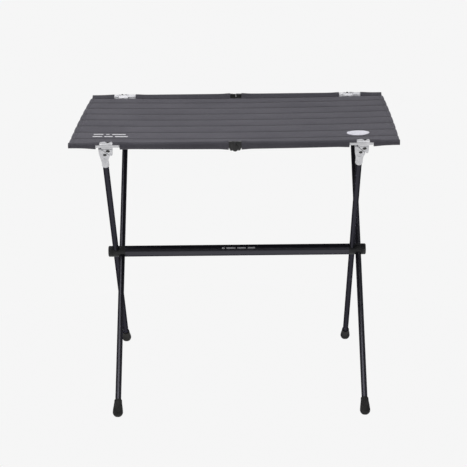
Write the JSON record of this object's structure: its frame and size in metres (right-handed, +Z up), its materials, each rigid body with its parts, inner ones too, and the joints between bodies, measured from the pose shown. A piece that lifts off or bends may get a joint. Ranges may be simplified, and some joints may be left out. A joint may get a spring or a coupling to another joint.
{
  "type": "folding camp kitchen table",
  "caption": "Folding camp table: crossed tube legs on a round crossbar, two hinged rails with cast brackets, and a slatted fabric top.",
  "frame": {"origin": "on the ground under the middle of the table, at the bottom centre of its box", "axes": "+X along the rails, the table's longest side; +Y towards the rear rail; +Z up"},
  "size_m": [0.8402, 0.7146, 0.7343],
  "materials": {
    "crossbar_black": "semi-gloss black anodised tube",
    "leg_black": "semi-gloss black anodised tube",
    "rail_black": "semi-gloss black anodised tube",
    "hinge_black": "satin black cast metal",
    "black_plastic": "fine-grained black plastic",
    "foot_rubber": "matt black rubber",
    "silver_casting": "bead-blasted silver cast aluminium",
    "dark_steel": "blackened steel",
    "steel": "turned steel",
    "top_fabric": "charcoal woven polyester",
    "slat_aluminium": "mill finish sheet"
  },
  "bodies": {
    "crossbar": {"crossbar_tube": "crossbar_black", "crossbar_plugs": "black_plastic", "pivot_caps": "black_plastic", "pivot_bolts": "steel"},
    "legs_a": {"leg_tube_a_left": "leg_black", "leg_tube_a_right": "leg_black", "leg_hub_a_left": "black_plastic", "leg_hub_a_right": "black_plastic", "foot_a_left": "foot_rubber", "foot_a_right": "foot_rubber", "socket_a_left": "silver_casting", "socket_a_right": "silver_casting", "bracket_a_left": "silver_casting", "bracket_a_right": "silver_casting", "bracket_pins_a": "dark_steel", "lock_buttons_a": "dark_steel", "clamp_screws_a": "dark_steel"},
    "legs_b": {"leg_tube_b_left": "leg_black", "leg_tube_b_right": "leg_black", "leg_hub_b_left": "black_plastic", "leg_hub_b_right": "black_plastic", "foot_b_left": "foot_rubber", "foot_b_right": "foot_rubber", "socket_b_left": "silver_casting", "socket_b_right": "silver_casting", "bracket_b_left": "silver_casting", "bracket_b_right": "silver_casting", "bracket_pins_b": "dark_steel", "lock_buttons_b": "dark_steel", "clamp_screws_b": "dark_steel"},
    "rail_front": {"rail_tube_front_left": "rail_black", "rail_tube_front_right": "rail_black", "hinge_fork_front": "hinge_black", "hinge_tongue_front": "hinge_black", "hinge_pin_front": "steel", "rail_caps_front": "black_plastic", "sleeve_front": "top_fabric"},
    "rail_rear": {"rail_tube_rear_left": "rail_black", "rail_tube_rear_right": "rail_black", "hinge_fork_rear": "hinge_black", "hinge_tongue_rear": "hinge_black", "hinge_pin_rear": "steel", "rail_caps_rear": "black_plastic", "sleeve_rear": "top_fabric"},
    "panel_1": {"strip_1": "top_fabric", "slat_1": "slat_aluminium"},
    "panel_2": {"strip_2": "top_fabric", "slat_2": "slat_aluminium"},
    "panel_3": {"strip_3": "top_fabric", "slat_3": "slat_aluminium"},
    "panel_4": {"strip_4": "top_fabric", "slat_4": "slat_aluminium"},
    "panel_5": {"strip_5": "top_fabric", "slat_5": "slat_aluminium"},
    "panel_6": {"strip_6": "top_fabric", "slat_6": "slat_aluminium"},
    "panel_7": {"strip_7": "top_fabric", "slat_7": "slat_aluminium"},
    "panel_8": {"strip_8": "top_fabric", "slat_8": "slat_aluminium"}
  },
  "joints": [
    {"name": "leg_fold", "type": "hinge", "parent": "crossbar", "child": "legs_a", "pos_m": [0, 0, 0.359], "axis": [-1, 0, 0], "range_deg": [0, 38.5]},
    {"name": "leg_fold_b", "type": "hinge", "parent": "crossbar", "child": "legs_b", "pos_m": [0, 0, 0.359], "axis": [1, 0, 0], "range_deg": [0, 38.5]},
    {"name": "front_rail_turn", "type": "hinge", "parent": "legs_a", "child": "rail_front", "pos_m": [0, -0.35, 0.725], "axis": [1, 0, 0], "range_deg": [0, 38.5]},
    {"name": "rear_rail_turn", "type": "hinge", "parent": "legs_b", "child": "rail_rear", "pos_m": [0, 0.35, 0.725], "axis": [-1, 0, 0], "range_deg": [0, 38.5]},
    {"name": "panel_1_turn", "type": "hinge", "parent": "rail_front", "child": "panel_1", "pos_m": [0, -0.3354, 0.7152], "axis": [-1, 0, 0], "range_deg": [0, 90.1]},
    {"name": "panel_2_turn", "type": "hinge", "parent": "rail_front", "child": "panel_2", "pos_m": [0, -0.2882, 0.756], "axis": [-1, 0, 0], "range_deg": [0, 90.1]},
    {"name": "panel_3_turn", "type": "hinge", "parent": "rail_front", "child": "panel_3", "pos_m": [0, -0.2363, 0.8014], "axis": [-1, 0, 0], "range_deg": [0, 90.1]},
    {"name": "panel_4_turn", "type": "hinge", "parent": "rail_front", "child": "panel_4", "pos_m": [0, -0.1817, 0.8495], "axis": [-1, 0, 0], "range_deg": [0, 90.1]},
    {"name": "panel_5_turn", "type": "hinge", "parent": "rail_rear", "child": "panel_5", "pos_m": [0, 0.1817, 0.8495], "axis": [1, 0, 0], "range_deg": [0, 90.1]},
    {"name": "panel_6_turn", "type": "hinge", "parent": "rail_rear", "child": "panel_6", "pos_m": [0, 0.2363, 0.8014], "axis": [1, 0, 0], "range_deg": [0, 90.1]},
    {"name": "panel_7_turn", "type": "hinge", "parent": "rail_rear", "child": "panel_7", "pos_m": [0, 0.2882, 0.756], "axis": [1, 0, 0], "range_deg": [0, 90.1]},
    {"name": "panel_8_turn", "type": "hinge", "parent": "rail_rear", "child": "panel_8", "pos_m": [0, 0.3354, 0.7152], "axis": [1, 0, 0], "range_deg": [0, 90.1]}
  ],
  "couplings": [
    {"joint": "leg_fold_b", "follows": "leg_fold", "ratio": 1},
    {"joint": "front_rail_turn", "follows": "leg_fold", "ratio": 1},
    {"joint": "rear_rail_turn", "follows": "leg_fold", "ratio": 1},
    {"joint": "panel_1_turn", "follows": "leg_fold", "ratio": 2.3377},
    {"joint": "panel_2_turn", "follows": "leg_fold", "ratio": 2.3377},
    {"joint": "panel_3_turn", "follows": "leg_fold", "ratio": 2.3377},
    {"joint": "panel_4_turn", "follows": "leg_fold", "ratio": 2.3377},
    {"joint": "panel_5_turn", "follows": "leg_fold", "ratio": 2.3377},
    {"joint": "panel_6_turn", "follows": "leg_fold", "ratio": 2.3377},
    {"joint": "panel_7_turn", "follows": "leg_fold", "ratio": 2.3377},
    {"joint": "panel_8_turn", "follows": "leg_fold", "ratio": 2.3377}
  ]
}
